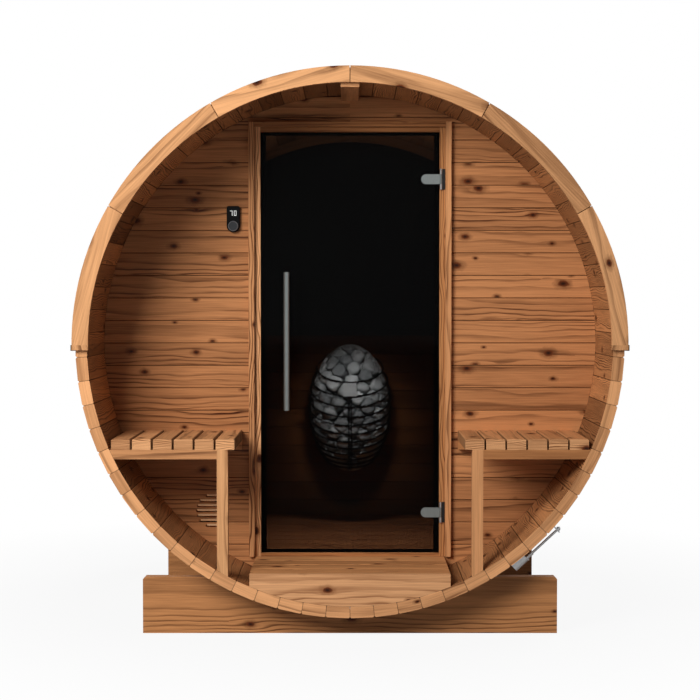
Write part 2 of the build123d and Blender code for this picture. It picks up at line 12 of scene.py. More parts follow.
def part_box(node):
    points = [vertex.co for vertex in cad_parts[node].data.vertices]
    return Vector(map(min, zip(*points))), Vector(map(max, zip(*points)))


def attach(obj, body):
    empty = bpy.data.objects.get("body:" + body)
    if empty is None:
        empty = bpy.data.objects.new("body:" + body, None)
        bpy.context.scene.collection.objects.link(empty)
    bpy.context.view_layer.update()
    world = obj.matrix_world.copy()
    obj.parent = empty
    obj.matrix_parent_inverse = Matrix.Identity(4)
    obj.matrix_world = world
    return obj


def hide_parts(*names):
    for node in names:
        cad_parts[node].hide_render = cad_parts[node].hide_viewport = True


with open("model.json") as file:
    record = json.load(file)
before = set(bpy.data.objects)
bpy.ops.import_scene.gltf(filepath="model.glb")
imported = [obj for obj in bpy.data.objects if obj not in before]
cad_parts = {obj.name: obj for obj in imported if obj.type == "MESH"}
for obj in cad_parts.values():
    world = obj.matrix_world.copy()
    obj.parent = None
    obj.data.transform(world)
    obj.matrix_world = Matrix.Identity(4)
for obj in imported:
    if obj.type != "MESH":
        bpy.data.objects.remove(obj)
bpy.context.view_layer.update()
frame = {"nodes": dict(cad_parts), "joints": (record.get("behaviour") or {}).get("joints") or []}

# Barrel staves
# Seventy tapered boards of heat-treated pine, planed and oiled, drawn into a barrel by three steel hoops.
# The oil gives a warm brown satin face: growth lines run along each board and bend round dark oval knots.
FITTED = -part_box("front_wall_left")[0][0]              # radius of the round walls inside the barrel
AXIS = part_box("front_wall_over_door")[1][2] - FITTED   # height of the barrel's axis
WALL_FIT = 0.0003                                      # clearance of those walls in the staves
INNER_RADIUS = FITTED + WALL_FIT
STAVES, STAVE_JOINT_SHADE = 70, 0.0028
STAVE_PITCH = 2 * math.pi / STAVES
SHADOW_LINE = "1E0F07"                                 # the dark of a joint between boards


def tone(code):
    """Linear colour of an sRGB hex value."""
    parts = [int(code[i:i + 2], 16) / 255 for i in (0, 2, 4)]
    return [p / 12.92 if p <= 0.04045 else ((p + 0.055) / 1.055) ** 2.4 for p in parts] + [1.0]


def add(tree, kind, inputs=(), **settings):
    """Adds one node with its settings, and a link or a value on each socket, by name or in order."""
    new = tree.nodes.new("ShaderNode" + kind)
    for name, value in settings.items():
        setattr(new, name, value)
    for socket, value in inputs.items() if isinstance(inputs, dict) else enumerate(inputs):
        if isinstance(value, bpy.types.NodeSocket):
            tree.links.new(value, new.inputs[socket])
        else:
            new.inputs[socket].default_value = value
    return new.outputs


def blank(name):
    """A new material, its node tree and its surface shader."""
    material = bpy.data.materials.new(name)
    material.use_nodes = True
    return material, material.node_tree, material.node_tree.nodes["Principled BSDF"]


# The grain of one board, from a place along, across and into it, in metres. The face cuts the growth rings
# at a slant, so their lines are far apart in the middle of a board and close at its edges, and they swerve
# round the knots. Rings are 3.5 mm apart where many real ones are 2 mm, because closer lines would not show.
RING = 0.0035
KNOT_RUN, KNOT_ACROSS = 0.30, 0.095         # one chance of a knot for each such stretch of board
KNOT_SMALL, KNOT_LARGE = 0.045, 0.14        # half a knot's width as a share of that stretch
KNOT_SQUEEZE = 1.9                          # and how much smaller a share its length is
SWERVE_REACH, SWERVE_PUSH = 3.6, 0.85       # how many knot sizes off the lines swerve, and by what share
SWERVE_RUN = 0.8                            # what a stretch along counts there against one across
ABSENT = 50.0                               # takes a knot that is not there out of reach
TIMBER_RUN, TIMBER_ACROSS = 40.0, 3.0       # each board comes from its own place in so much timber
PITH_BESIDE, PITH_NEAR, PITH_FAR = 0.085, 0.04, 0.11
WAVER = 0.05                                # how far the growth lines stray
FIBRE_SHARE, STREAK_SHARE, BOARD_SHARE = 0.26, 0.32, 0.36
# Waves to the metre, along, across and into the board. Real fibres are finer than 5 mm and would not show.
RAGGED_WAVES = (60.0, 60.0, 60.0)
WAVER_WAVES = (1.7, 7.0, 7.0)
PATCH_WAVES = (3.0, 16.0, 16.0)
FIBRE_WAVES = (6.0, 210.0, 210.0)
STREAK_WAVES = (1.6, 40.0, 40.0)
grain = bpy.data.node_groups.new("knotty_pine_grain", "ShaderNodeTree")
for socket in ("Run", "Across", "Depth", "Board", "Knots"):
    grain.interface.new_socket(name=socket, in_out="INPUT", socket_type="NodeSocketFloat")
for socket in ("Light", "Dark"):
    grain.interface.new_socket(name=socket, in_out="INPUT", socket_type="NodeSocketColor")
grain.interface.new_socket(name="Colour", in_out="OUTPUT", socket_type="NodeSocketColor")
grain.interface.new_socket(name="Height", in_out="OUTPUT", socket_type="NodeSocketFloat")
given = grain.nodes.new("NodeGroupInput").outputs
result = grain.nodes.new("NodeGroupOutput").inputs
chance = add(grain, "TexWhiteNoise", {"W": given["Board"]}, noise_dimensions="1D")["Color"]
chance = add(grain, "SeparateColor", (chance,))
run = add(grain, "Math", (chance[0], TIMBER_RUN, given["Run"]), operation="MULTIPLY_ADD")[0]
place = add(grain, "CombineXYZ", (run, given["Across"], given["Depth"]))[0]

# Knots: a ragged oval in some cells of a grid that every board shifts by its own chance.
shifted = add(grain, "Math", (chance[1], TIMBER_ACROSS, given["Across"]), operation="MULTIPLY_ADD")[0]
shifted = add(grain, "CombineXYZ", (run, shifted))[0]
knot_cells = (1 / KNOT_RUN, 1 / KNOT_ACROSS, 0.0)
shifted = add(grain, "VectorMath", (shifted, knot_cells), operation="MULTIPLY")[0]
cell = add(grain, "TexVoronoi", {"Vector": shifted, "Scale": 1.0, "Randomness": 0.8},
           voronoi_dimensions="2D")
cell_chance = add(grain, "SeparateColor", (cell["Color"],))
absent = add(grain, "Math", (cell_chance[0], given["Knots"]), operation="GREATER_THAN")[0]
knot_size = add(grain, "MapRange", (cell_chance[1], 0.0, 1.0, KNOT_SMALL, KNOT_LARGE))[0]
away = add(grain, "VectorMath", (shifted, cell["Position"]), operation="SUBTRACT")[0]
rough = add(grain, "VectorMath", (place, RAGGED_WAVES), operation="MULTIPLY")[0]
rough = add(grain, "TexNoise", {"Vector": rough, "Scale": 1.0, "Detail": 2.0})[0]
rough = add(grain, "MapRange", (rough, 0.0, 1.0, 0.65, 1.35))[0]
oval = add(grain, "VectorMath", (away, (KNOT_SQUEEZE, 1.0, 0.0)), operation="MULTIPLY")[0]
oval = add(grain, "VectorMath", (oval,), operation="LENGTH")["Value"]
oval = add(grain, "Math", (oval, knot_size), operation="DIVIDE")[0]
oval = add(grain, "Math", (oval, rough), operation="MULTIPLY")[0]
oval = add(grain, "Math", (absent, ABSENT, oval), operation="MULTIPLY_ADD")[0]
knot = add(grain, "MapRange", (oval, 0.8, 1.05, 1.0, 0.0))[0]
halo = add(grain, "MapRange", (oval, 0.9, 2.2, 0.6, 0.0))[0]
swerve = add(grain, "VectorMath", (away, (SWERVE_RUN, 1.0, 0.0)), operation="MULTIPLY")[0]
swerve = add(grain, "VectorMath", (swerve,), operation="LENGTH")["Value"]
swerve = add(grain, "Math", (swerve, knot_size), operation="DIVIDE")[0]
swerve = add(grain, "Math", (absent, ABSENT, swerve), operation="MULTIPLY_ADD")[0]
swerve = add(grain, "MapRange", (swerve, 0.0, SWERVE_REACH, SWERVE_PUSH * KNOT_ACROSS, 0.0),
             interpolation_type="SMOOTHSTEP")[0]
pushed = add(grain, "Math", (add(grain, "SeparateXYZ", (away,))[1], swerve), operation="MULTIPLY")[0]

# Growth lines: circles about a pith that lies beside and behind the face, with a wavering course.
waver = add(grain, "VectorMath", (place, WAVER_WAVES), operation="MULTIPLY")[0]
waver = add(grain, "TexNoise", {"Vector": waver, "Scale": 1.0, "Detail": 3.0, "Roughness": 0.5})[0]
waver = add(grain, "MapRange", (waver, 0.0, 1.0, -WAVER, WAVER))[0]
beside = add(grain, "MapRange", (chance[1], 0.0, 1.0, -PITH_BESIDE, PITH_BESIDE))[0]
beside = add(grain, "Math", (beside, waver), operation="ADD")[0]
beside = add(grain, "Math", (beside, pushed), operation="SUBTRACT")[0]
beside = add(grain, "Math", (beside, given["Across"]), operation="ADD")[0]
behind = add(grain, "MapRange", (chance[2], 0.0, 1.0, PITH_NEAR, PITH_FAR))[0]
behind = add(grain, "Math", (behind, given["Depth"]), operation="ADD")[0]
from_pith = add(grain, "CombineXYZ", (beside, behind))[0]
from_pith = add(grain, "VectorMath", (from_pith,), operation="LENGTH")["Value"]
ring = add(grain, "Math", (from_pith, RING), operation="DIVIDE")[0]
ring = add(grain, "Math", (ring,), operation="FRACT")[0]
late = add(grain, "MapRange", (ring, 0.5, 0.93, 0.0, 1.0), interpolation_type="SMOOTHSTEP")[0]
fade = add(grain, "MapRange", (ring, 0.94, 1.0, 1.0, 0.1))[0]
late = add(grain, "Math", (late, fade), operation="MULTIPLY")[0]
# A board's middle shows its lines faintly and some patches show them more, with fibres and streaks between.
slant = add(grain, "Math", (beside, from_pith), operation="DIVIDE")[0]
slant = add(grain, "Math", (slant,), operation="ABSOLUTE")[0]
slant = add(grain, "MapRange", (slant, 0.04, 0.3, 0.35, 1.0))[0]
late = add(grain, "Math", (late, slant), operation="MULTIPLY")[0]
patch = add(grain, "VectorMath", (place, PATCH_WAVES), operation="MULTIPLY")[0]
patch = add(grain, "TexNoise", {"Vector": patch, "Scale": 1.0})[0]
patch = add(grain, "MapRange", (patch, 0.3, 0.7, 0.3, 1.15))[0]
late = add(grain, "Math", (late, patch), operation="MULTIPLY")[0]
fibre = add(grain, "VectorMath", (place, FIBRE_WAVES), operation="MULTIPLY")[0]
fibre = add(grain, "TexNoise", {"Vector": fibre, "Scale": 1.0, "Detail": 2.0})[0]
fibre = add(grain, "MapRange", (fibre, 0.3, 0.7, 0.0, 1.0))[0]
streak = add(grain, "VectorMath", (place, STREAK_WAVES), operation="MULTIPLY")[0]
streak = add(grain, "TexNoise", {"Vector": streak, "Scale": 1.0, "Detail": 3.0})[0]
shade = add(grain, "Math", (fibre, FIBRE_SHARE, late), operation="MULTIPLY_ADD")[0]
shade = add(grain, "Math", (streak, STREAK_SHARE, shade), operation="MULTIPLY_ADD")[0]
shade = add(grain, "Math", (chance[2], BOARD_SHARE, shade), operation="MULTIPLY_ADD")[0]
shade = add(grain, "MapRange", (shade, 0.26, 1.25, 0.0, 1.0))[0]
face = add(grain, "MixRGB", (shade, given["Light"], given["Dark"]))[0]
face = add(grain, "MixRGB", (halo, face, given["Dark"]))[0]
heart = add(grain, "MapRange", (oval, 0.2, 1.0, 0.0, 0.9))[0]
heart = add(grain, "MixRGB", (heart, tone("260F06"), tone("7A3F20")))[0]
face = add(grain, "MixRGB", (knot, face, heart))[0]
grain.links.new(face, result["Colour"])
height = add(grain, "Math", (late, 0.8, fibre), operation="MULTIPLY_ADD")[0]
height = add(grain, "Math", (knot, -0.4, height), operation="MULTIPLY_ADD")[0]
grain.links.new(height, result["Height"])


BOARD_STEP, SIDE_STEP = 0.377, 0.173   # steps in chance from board to board, and from left to right
SAWN = 0.8                             # a face that looks along the barrel by more is a sawn end
END_SHADE, END_LINE = 0.0018, 0.0006   # a joint between sawn ends starts and is darkest so far from the edge
GRAIN_RELIEF = 0.0006


def pine(name, lie, pitch, first, light, dark, knots=0.3, seam=0.0, seed=0.0, split=False, ends=None):
    """Oiled heat-treated pine whose boards lie one way: pitch and first give their width and an edge.

    A seam is the width of painted shade in the joints between boards and of a painted highlight beside
    them, a seed picks the timber, split parts the boards left and right of the middle, and ends are the
    light and dark of sawn ends.
    """
    material, tree, shader = blank(name)
    x, y, z = add(tree, "SeparateXYZ", (add(tree, "TexCoord")["Object"],))
    round_barrel = lie in ("stave", "arc")
    if round_barrel:
        rise = add(tree, "Math", (z, AXIS), operation="SUBTRACT")[0]
        turn = add(tree, "Math", (rise, x), operation="ARCTAN2")[0]
        out = add(tree, "VectorMath", (add(tree, "CombineXYZ", (x, rise))[0],), operation="LENGTH")["Value"]
        out = add(tree, "Math", (out, INNER_RADIUS), operation="SUBTRACT")[0]
        along, across, depth = y, turn, out
    else:
        along, across, depth = {"across": (x, z, y), "along": (y, x, z),
                                "upright": (z, x, y), "floor": (x, y, z)}[lie]
    row = add(tree, "Math", (across, first), operation="SUBTRACT")[0]
    row = add(tree, "Math", (row, pitch), operation="DIVIDE")[0]
    number = add(tree, "Math", (row,), operation="FLOOR")[0]
    width = pitch * INNER_RADIUS if round_barrel else pitch
    within = add(tree, "Math", (row, number), operation="SUBTRACT")[0]
    within = add(tree, "Math", (within, 0.5), operation="SUBTRACT")[0]
    within = add(tree, "Math", (within, width), operation="MULTIPLY")[0]
    number = add(tree, "Math", (number, BOARD_STEP, seed), operation="MULTIPLY_ADD")[0]
    if split:
        right = add(tree, "Math", (x, 0.0), operation="GREATER_THAN")[0]
        number = add(tree, "Math", (right, SIDE_STEP, number), operation="MULTIPLY_ADD")[0]
    if lie == "arc":
        swing = add(tree, "Math", (within, INNER_RADIUS), operation="DIVIDE")[0]
        radius = add(tree, "Math", (out, INNER_RADIUS), operation="ADD")[0]
        along = add(tree, "Math", (swing,), operation="SINE")[0]
        along = add(tree, "Math", (along, radius), operation="MULTIPLY")[0]
        across = add(tree, "Math", (swing,), operation="COSINE")[0]
        across = add(tree, "Math", (across, radius), operation="MULTIPLY")[0]
        across = add(tree, "Math", (across, INNER_RADIUS), operation="SUBTRACT")[0]
        depth = y
    else:
        across = within

    def cut(pale, deep, *at):
        """The grain's colour and height, in two tones, at a place along, across and into a numbered board."""
        group = tree.nodes.new("ShaderNodeGroup")
        group.node_tree = grain
        for socket, value in zip(("Run", "Across", "Depth", "Board"), at):
            tree.links.new(value, group.inputs[socket])
        group.inputs["Knots"].default_value = knots
        group.inputs["Light"].default_value = tone(pale)
        group.inputs["Dark"].default_value = tone(deep)
        return group.outputs

    colour, height = cut(light, dark, along, across, depth, number)
    # Painted shade in the joints between boards, and a painted highlight on the eased edge beside them.
    if seam:
        edge = add(tree, "Math", (within,), operation="ABSOLUTE")[0]
        joint_shade = add(tree, "MapRange", (edge, width / 2 - seam, width / 2 - seam / 3, 0.0, 0.7))[0]
        edge_highlight = add(tree, "MapRange", (edge, width / 2 - 2.6 * seam, width / 2 - 1.6 * seam, 0.0, 0.22))[0]
        colour = add(tree, "MixRGB", (edge_highlight, colour, tone(light)))[0]
        colour = add(tree, "MixRGB", (joint_shade, colour, tone(SHADOW_LINE)))[0]
    if lie == "stave":
        own = add(tree, "TexWhiteNoise", {"W": number}, noise_dimensions="1D")["Value"]
        own = add(tree, "MapRange", (own, 0.3, 1.0, 0.0, 0.6))[0]
        colour = add(tree, "MixRGB", (own, colour, tone(dark)))[0]
    if ends:
        facing = add(tree, "SeparateXYZ", (add(tree, "NewGeometry")["Normal"],))[1]
        facing = add(tree, "Math", (facing,), operation="ABSOLUTE")[0]
        sawn_end = add(tree, "Math", (facing, SAWN), operation="GREATER_THAN")[0]
        run_round = add(tree, "Math", (turn, INNER_RADIUS), operation="MULTIPLY")[0] if round_barrel else x
        end_colour, _ = cut(*ends, run_round, out if round_barrel else z, y, number)
        # Painted shade in the joints between sawn ends.
        joint = add(tree, "MapRange", (edge, width / 2 - END_SHADE, width / 2 - END_LINE, 0.0, 0.65))[0]
        end_colour = add(tree, "MixRGB", (joint, end_colour, tone(SHADOW_LINE)))[0]
        colour = add(tree, "MixRGB", (sawn_end, colour, end_colour))[0]
    tree.links.new(colour, shader.inputs["Base Color"])
    bump = add(tree, "Bump", {"Strength": 0.35, "Distance": GRAIN_RELIEF, "Height": height})[0]
    tree.links.new(bump, shader.inputs["Normal"])
    shader.inputs["Roughness"].default_value = 0.55
    shader.inputs["Specular IOR Level"].default_value = 0.25
    return material


def dress(material, *nodes):
    """Gives CAD pieces a finish."""
    for name in nodes:
        for slot in frame["nodes"][name].material_slots:
            slot.material = material


stave_pine = pine("oiled_pine_staves", "stave", STAVE_PITCH, -STAVE_PITCH / 2, "D69460", "381A09",
                  knots=0.6, seam=STAVE_JOINT_SHADE, ends=("EEAE78", "5E3216"))
dress(stave_pine, "staves_bottom", "staves_lower_right", "staves_right", "staves_top_right",
      "staves_top_left", "staves_left", "staves_lower_left")

# Cradles
# Three planks of the same pine on edge, with a seat sawn to the barrel, which lies in them by its weight.
# Their grain runs left to right.
CRADLE_BOARD, CRADLE_FOOT = 0.24, -0.006
cradle_pine = pine("oiled_pine_cradles", "across", CRADLE_BOARD, CRADLE_FOOT, "CE8F5B", "4E280F",
                   knots=0.7, seed=3.1)
dress(cradle_pine, "cradle_front", "cradle_middle", "cradle_rear")

# Hoops
# Stainless steel bands, with a sleeve, an ear and a threaded rod that draws them tight. Mill finish: a soft
# grey sheen that scuffs make a little uneven.
SCUFF = 9 / 0.100        # nine scuffs to 100 mm
stainless, tree, shader = blank("mill_stainless_steel")
place = add(tree, "TexCoord")["Object"]
scuff = add(tree, "TexNoise", {"Vector": place, "Scale": SCUFF, "Detail": 3.0})[0]
tree.links.new(add(tree, "MapRange", (scuff, 0.0, 1.0, 0.28, 0.46))[0], shader.inputs["Roughness"])
tree.links.new(add(tree, "MixRGB", (scuff, tone("C2C3C4"), tone("E4E5E6")))[0], shader.inputs["Base Color"])
shader.inputs["Metallic"].default_value = 1.0
dress(stainless, "hoop_front", "hoop_middle", "hoop_rear")

# Roof shingles
# Bitumen shingles with a mineral surface, nailed over the upper half of the staves in courses from the edge
# upwards over a felt underlay. Each course is cut into tabs, and its lower edge lies on the course below.
roof_low, roof_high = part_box("roof_cover")
ROOF_INNER, ROOF_OUTER = 1.0511, 1.0583
ROOF_EDGE, BARREL_END = roof_low[2] - AXIS, roof_high[1]
COURSES, TABS = 13, 6.5                # courses on a side, tabs in a course
RIDGE_SHARE, LAP_SHARE = 0.5, 1.35     # of a course: what shows at the ridge, and the whole height of a tab
SLIT, SHORTEST, TAPER = 0.006, 0.024, 0.0035   # gap between tabs, least tab, and what a tab thins upwards
TAB_STEPS, UNDERLAY_STEPS = 4, 96
UNDERLAY_INNER, UNDERLAY_OUTER, UNDERLAY_INSET = ROOF_INNER + 0.0003, ROOF_INNER + 0.0015, 0.002
GRIT, GRIT_RELIEF = 7 / 0.010, 0.0015  # seven grains to 10 mm


def mesh_piece(name, points, faces, material, body, slot, *replaced):
    """A mesh piece with its finish, riding on a body and standing for CAD nodes."""
    mesh = bpy.data.meshes.new(name)
    mesh.from_pydata(points, [], faces)
    work = bmesh.new()
    work.from_mesh(mesh)
    bmesh.ops.recalc_face_normals(work, faces=work.faces)
    work.to_mesh(mesh)
    work.free()
    mesh.materials.append(material)
    piece = bpy.data.objects.new(name, mesh)
    bpy.context.collection.objects.link(piece)
    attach(piece, body)
    if replaced:
        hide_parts(*replaced)
    return piece


def tube_faces(faces, base, rings, sides, closed=False):
    """Faces of a tube from rings of points in order, capped at both ends or closed on itself."""
    for step in range(rings if closed else rings - 1):
        a, b = base + sides * step, base + sides * ((step + 1) % rings)
        faces += [(a + s, a + (s + 1) % sides, b + (s + 1) % sides, b + s) for s in range(sides)]
    if not closed:
        last = base + sides * (rings - 1)
        faces += [tuple(reversed(range(base, base + sides))), tuple(range(last, last + sides))]


points, faces = [], []
roof_start = math.asin(ROOF_EDGE / ROOF_OUTER)
tab_width = 2 * BARREL_END / TABS
course_turn = (math.pi / 2 - roof_start) / (COURSES - RIDGE_SHARE)
for side in (1, -1):
    for course in range(COURSES):
        low = roof_start + course * course_turn
        high = min(low + LAP_SHARE * course_turn, math.pi / 2)
        offset = tab_width / 2 * (course % 2)
        for tab in range(-1, int(TABS) + 2):
            start = max(-BARREL_END, -BARREL_END + tab * tab_width - offset + SLIT / 2)
            end = min(BARREL_END, -BARREL_END + (tab + 1) * tab_width - offset - SLIT / 2)
            if end - start < SHORTEST:
                continue
            base = len(points)
            for step in range(TAB_STEPS + 1):
                share = step / TAB_STEPS
                turn = low + (high - low) * share
                for y, radius in ((start, ROOF_INNER), (end, ROOF_INNER), (end, ROOF_OUTER - TAPER * share),
                                  (start, ROOF_OUTER - TAPER * share)):
                    points.append((side * radius * math.cos(turn), y, AXIS + radius * math.sin(turn)))
            tube_faces(faces, base, TAB_STEPS + 1, 4)
base, felt_end = len(points), BARREL_END - UNDERLAY_INSET
for step in range(UNDERLAY_STEPS + 1):
    turn = roof_start + (math.pi - 2 * roof_start) * step / UNDERLAY_STEPS
    for y, radius in ((-felt_end, UNDERLAY_INNER), (felt_end, UNDERLAY_INNER), (felt_end, UNDERLAY_OUTER),
                      (-felt_end, UNDERLAY_OUTER)):
        points.append((radius * math.cos(turn), y, AXIS + radius * math.sin(turn)))
tube_faces(faces, base, UNDERLAY_STEPS + 1, 4)
bitumen, tree, shader = blank("mineral_bitumen_shingle")
place = add(tree, "TexCoord")["Object"]
grit = add(tree, "TexNoise", {"Vector": place, "Scale": GRIT, "Detail": 2.0})[0]
batch = add(tree, "NewGeometry")["Random Per Island"]
mixed = add(tree, "Math", (batch, 0.45, grit), operation="MULTIPLY_ADD")[0]
mixed = add(tree, "MapRange", (mixed, 0.35, 1.05, 0.0, 1.0))[0]
tree.links.new(add(tree, "MixRGB", (mixed, tone("1B1B1C"), tone("454546")))[0], shader.inputs["Base Color"])
bump = add(tree, "Bump", {"Strength": 0.5, "Distance": GRIT_RELIEF, "Height": grit})[0]
tree.links.new(bump, shader.inputs["Normal"])
shader.inputs["Roughness"].default_value = 0.9
mesh_piece("roof_shingles", points, faces, bitumen, "sauna", "roof_felt", "roof_cover")

# Roof edge strips
# Folded steel drip strips nailed along the lower edges of the roof. Black powder coat, baked on: a dull sheen
# with a fine orange peel.
PEEL, PEEL_RELIEF = 4 / 0.010, 0.0003  # four dimples to 10 mm
powder_black, tree, shader = blank("black_powder_coat")
place = add(tree, "TexCoord")["Object"]
peel = add(tree, "TexNoise", {"Vector": place, "Scale": PEEL, "Detail": 1.0})[0]
tree.links.new(add(tree, "MixRGB", (peel, tone("0E0E0F"), tone("18181A")))[0], shader.inputs["Base Color"])
bump = add(tree, "Bump", {"Strength": 0.2, "Distance": PEEL_RELIEF, "Height": peel})[0]
tree.links.new(bump, shader.inputs["Normal"])
shader.inputs["Roughness"].default_value = 0.5
shader.inputs["Specular IOR Level"].default_value = 0.25
dress(powder_black, "roof_edge_strips")

# Fascia
# Six curved boards at each end, sawn from wide pine and butted with a narrow joint. The grain runs round
# the arc; the boards are paler than the staves.
FASCIA_PITCH = math.pi / 6
fascia_pine = pine("oiled_pine_fascia", "arc", FASCIA_PITCH, 0.0, "E6AA76", "542C12", knots=0.55, seed=5.3)
dress(fascia_pine, "front_fascia", "rear_fascia")

# Front wall
# Tongued pine boards laid level inside the barrel, left out for the doorway. Each board has eased edges, and
# painted shade darkens the V line between boards, with a painted highlight beside it. The left side has seven
# sawn air slots near the floor, each with a pale louvre over it.
wall_low, wall_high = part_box("front_wall_right")
FRAME_HALF, WALL_FRONT, WALL_BACK = wall_low[0], wall_low[1], wall_high[1]
FRAME_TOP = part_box("front_wall_over_door")[0][2] - AXIS
DECK_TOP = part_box("porch_deck")[1][2] - AXIS
BOARD, BOARD_EDGE = 0.0919, -0.004   # pitch, and the height of one joint from the axis
WALL_ROWS = 11                       # rows of boards above that joint, and below it
EASE, EASE_SHADE, JOINT = 0.0026, 0.0022, 0.0004   # eased edge, its shade, and half the gap of a joint
STATIONS = 6


def chord(height):
    """Half the inside width of the barrel at a height above its axis."""
    return math.sqrt(max(FITTED ** 2 - height ** 2, 0.0))


def lay_board(points, faces, low, high, inner, outer, front, back):
    """One level board between two heights; inner and outer give its ends at a height."""
    base, flat = len(points), high - low - 2 * EASE
    heights = [low] + [low + EASE + flat * k / STATIONS for k in range(STATIONS + 1)] + [high]
    for height in heights:
        eased = EASE if height in (low, high) else 0.0
        for edge, y in ((inner, front + eased), (outer, front + eased),
                        (outer, back - eased), (inner, back - eased)):
            points.append((edge(height), y, AXIS + height))
    tube_faces(faces, base, len(heights), 4)


points, faces = [], []
for row in range(-WALL_ROWS, WALL_ROWS):
    low = max(BOARD_EDGE + row * BOARD, -FITTED + 2 * EASE) + JOINT
    high = min(BOARD_EDGE + (row + 1) * BOARD, FITTED - 2 * EASE) - JOINT
    if high < DECK_TOP or low > FRAME_TOP:
        lay_board(points, faces, low, high, lambda h: -chord(h), chord, WALL_FRONT, WALL_BACK)
        continue
    for side in (-1, 1):
        lay_board(points, faces, low, high, lambda h: side * min(FRAME_HALF + JOINT, chord(h)),
                  lambda h: side * chord(h), WALL_FRONT, WALL_BACK)
    if high > FRAME_TOP:
        lay_board(points, faces, FRAME_TOP + JOINT, high, lambda h: -FRAME_HALF, lambda h: FRAME_HALF,
                  WALL_FRONT, WALL_BACK)
    if low < DECK_TOP:
        lay_board(points, faces, low, DECK_TOP - JOINT, lambda h: -FRAME_HALF, lambda h: FRAME_HALF,
                  WALL_FRONT, WALL_BACK)
wall_pine = pine("oiled_pine_wall_boards", "across", BOARD, AXIS + BOARD_EDGE, "CC8C5B", "401A09",
                 knots=0.75, seam=EASE_SHADE, seed=8.7, split=True)
front_wall = mesh_piece("front_wall_boards", points, faces, wall_pine, "sauna", "heat_treated_wood",
                        "front_wall_left", "front_wall_right", "front_wall_over_door",
                        "front_wall_below_sill")

VENT_X, VENT_Z, VENT_RADIUS = -0.565, AXIS - 0.692, 0.067
VENT_ROWS, VENT_PITCH, SLOT = 3, 0.0204, 0.0138   # slots above and below the middle one
LOUVRE_THICK, LOUVRE_PROUD, LOUVRE_TAIL = 0.0065, 0.008, 0.014
ARC_STEPS = 8
points, faces, louvre_points, louvre_faces = [], [], [], []
for row in range(-VENT_ROWS, VENT_ROWS + 1):
    rise = VENT_PITCH * row
    half = math.sqrt(VENT_RADIUS ** 2 - rise ** 2) - SLOT / 2
    base = len(points)
    for y in (WALL_FRONT - SLOT, WALL_BACK + SLOT):
        for end in (1, -1):
            for k in range(ARC_STEPS + 1):
                turn = math.pi * (k / ARC_STEPS - end / 2)
                points.append((VENT_X + end * half + SLOT / 2 * math.cos(turn), y,
                               VENT_Z + rise + SLOT / 2 * math.sin(turn)))
    tube_faces(faces, base, 2, 2 * (ARC_STEPS + 1))
    base, top = len(louvre_points), VENT_Z + rise + SLOT / 2
    for x in (VENT_X - half, VENT_X + half):
        for y, z in ((WALL_FRONT + LOUVRE_TAIL, top), (WALL_FRONT + LOUVRE_TAIL, top - LOUVRE_THICK),
                     (WALL_FRONT - LOUVRE_PROUD, top - LOUVRE_THICK), (WALL_FRONT - LOUVRE_PROUD, top - EASE),
                     (WALL_FRONT - LOUVRE_PROUD + EASE, top)):
            louvre_points.append((x, y, z))
    tube_faces(louvre_faces, base, 2, 5)
saw = mesh_piece("vent_saw", points, faces, wall_pine, "sauna", "heat_treated_wood")
sawing = front_wall.modifiers.new("slots", "BOOLEAN")
sawing.operation, sawing.solver, sawing.object = "DIFFERENCE", "EXACT", saw
bpy.context.view_layer.update()
sawn_wall = front_wall.evaluated_get(bpy.context.evaluated_depsgraph_get())
sawn_mesh = bpy.data.meshes.new_from_object(sawn_wall)
front_wall.modifiers.clear()
front_wall.data = sawn_mesh
bpy.data.objects.remove(saw)
pale_pine = pine("pale_pine_louvres", "across", VENT_PITCH, VENT_Z - VENT_PITCH / 2, "F0C69A", "D8A478",
                 knots=0.0, seed=13.8)
mesh_piece("vent_louvres", louvre_points, louvre_faces, pale_pine, "sauna", "heat_treated_wood")

# Door frame
# Jambs, head, sill and casing of planed pine, nailed round the doorway, with a black rubber seal on the stop.
# The casing is two uprights with a head strip between them, its edges eased with a plane.
casing_low, casing_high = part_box("door_casing")
CASING_GAP, CASING_EASE = 0.0003, 0.0015
LONE_UPRIGHT = (0.5, -0.25)      # pitch and edge that hold a single upright board
LONE_LEVEL = (0.3, -0.05)        # and those for level boards
BLOOM = 6 / 0.100                # six dull spots on the rubber to 100 mm


def box_piece(name, boxes, ease, material, body, slot, *replaced):
    """Boxes between pairs of corners as one piece, with eased edges."""
    points, faces = [], []
    for low, high in boxes:
        base = len(points)
        for z in (low[2], high[2]):
            points += [(low[0], low[1], z), (high[0], low[1], z), (high[0], high[1], z), (low[0], high[1], z)]
        tube_faces(faces, base, 2, 4)
    piece = mesh_piece(name, points, faces, material, body, slot, *replaced)
    bevel = piece.modifiers.new("eased", "BEVEL")
    bevel.width, bevel.segments = ease, 2
    return piece


upright_pine = pine("oiled_pine_uprights", "upright", *LONE_UPRIGHT, "C08554", "5E3419", knots=0.5, seed=2.2)
# A paler copy of the upright pine for the casing and the right bench leg: painted light.
casing_pine_painted_light = pine("oiled_pine_casing_painted_light", "upright", *LONE_UPRIGHT, "E2A26E", "643A1E", knots=0.6, seed=21.7)
level_pine = pine("oiled_pine_rails", "across", *LONE_LEVEL, "BA7E4E", "5A3018", seed=4.9)
